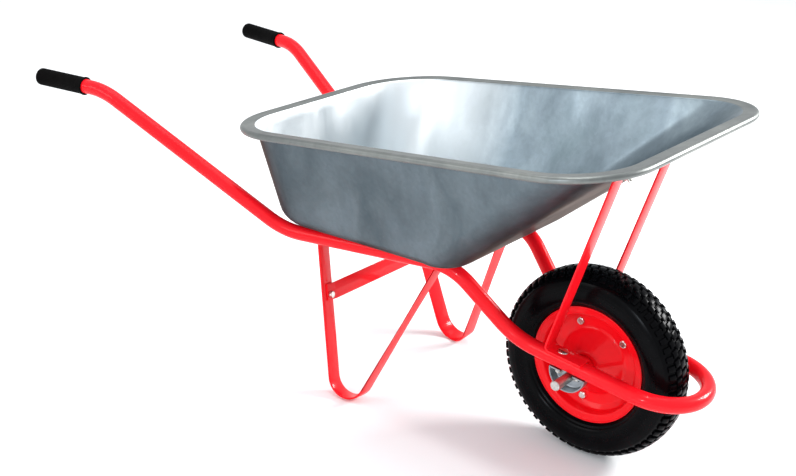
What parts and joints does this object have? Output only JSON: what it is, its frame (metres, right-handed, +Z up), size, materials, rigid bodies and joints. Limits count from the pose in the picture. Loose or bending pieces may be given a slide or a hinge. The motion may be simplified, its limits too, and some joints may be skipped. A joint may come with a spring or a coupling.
{
  "type": "wheelbarrow",
  "caption": "Single-wheel builder's wheelbarrow: bent tube frame with front loop, deep galvanised tray, bent flat-bar legs and stays, and a pneumatic wheel on a fixed axle.",
  "frame": {"origin": "on the floor under the middle of the bounding box", "axes": "+X forward from the handles to the wheel, +Y to the barrow's left, +Z up; the wheel's axle is parallel to Y at x = 0.4965 m, z = 0.188 m"},
  "size_m": [1.4704, 0.656, 0.6676],
  "materials": {
    "frame_paint": "gloss red paint",
    "wheel_paint": "gloss red paint on pressed steel",
    "tray_zinc": "galvanised, drawn, softly streaked",
    "bracket_zinc": "galvanised pressing",
    "fastener_zinc": "bright zinc plate",
    "axle_steel": "drawn steel bar",
    "bearing_steel": "ground steel",
    "shield_plastic": "moulded seal",
    "grip_rubber": "matt black grip",
    "tyre_rubber": "black tyre rubber with block tread",
    "tube_rubber": "smooth black rubber",
    "cap_plastic": "moulded plastic"
  },
  "bodies": {
    "barrow": {"axle": "axle_steel", "axle_bracket_left": "bracket_zinc", "axle_bracket_right": "bracket_zinc", "axle_clip_left": "axle_steel", "axle_clip_right": "axle_steel", "axle_spacer_left": "axle_steel", "axle_spacer_right": "axle_steel", "bearing_left_inner_race": "bearing_steel", "bearing_right_inner_race": "bearing_steel", "brace_bolts": "fastener_zinc", "brace_nuts": "fastener_zinc", "bracket_bolts": "fastener_zinc", "bracket_inserts": "fastener_zinc", "bracket_nuts": "fastener_zinc", "bracket_screws": "fastener_zinc", "frame_tube": "frame_paint", "grip_left": "grip_rubber", "grip_right": "grip_rubber", "hub_spacer": "axle_steel", "leg_brace": "frame_paint", "leg_left": "frame_paint", "leg_right": "frame_paint", "stay_bolts": "fastener_zinc", "stay_left": "frame_paint", "stay_nuts": "fastener_zinc", "stay_right": "frame_paint", "stay_washers": "fastener_zinc", "tray": "tray_zinc", "tray_bolts": "fastener_zinc", "tray_nuts": "fastener_zinc", "tray_washers": "fastener_zinc"},
    "wheel": {"bearing_left_balls": "bearing_steel", "bearing_left_outer_race": "bearing_steel", "bearing_left_shields": "shield_plastic", "bearing_right_balls": "bearing_steel", "bearing_right_outer_race": "bearing_steel", "bearing_right_shields": "shield_plastic", "hub_tube": "wheel_paint", "inner_tube": "tube_rubber", "rim_half_left": "wheel_paint", "rim_half_right": "wheel_paint", "tyre": "tyre_rubber", "valve_cap": "cap_plastic", "valve_stem": "tube_rubber", "wheel_bolts": "fastener_zinc", "wheel_nuts": "fastener_zinc"}
  },
  "joints": [
    {"name": "wheel_spin", "type": "hinge", "parent": "barrow", "child": "wheel", "pos_m": [0.4965, 0, 0.188], "axis": [0, 1, 0], "continuous": true}
  ]
}
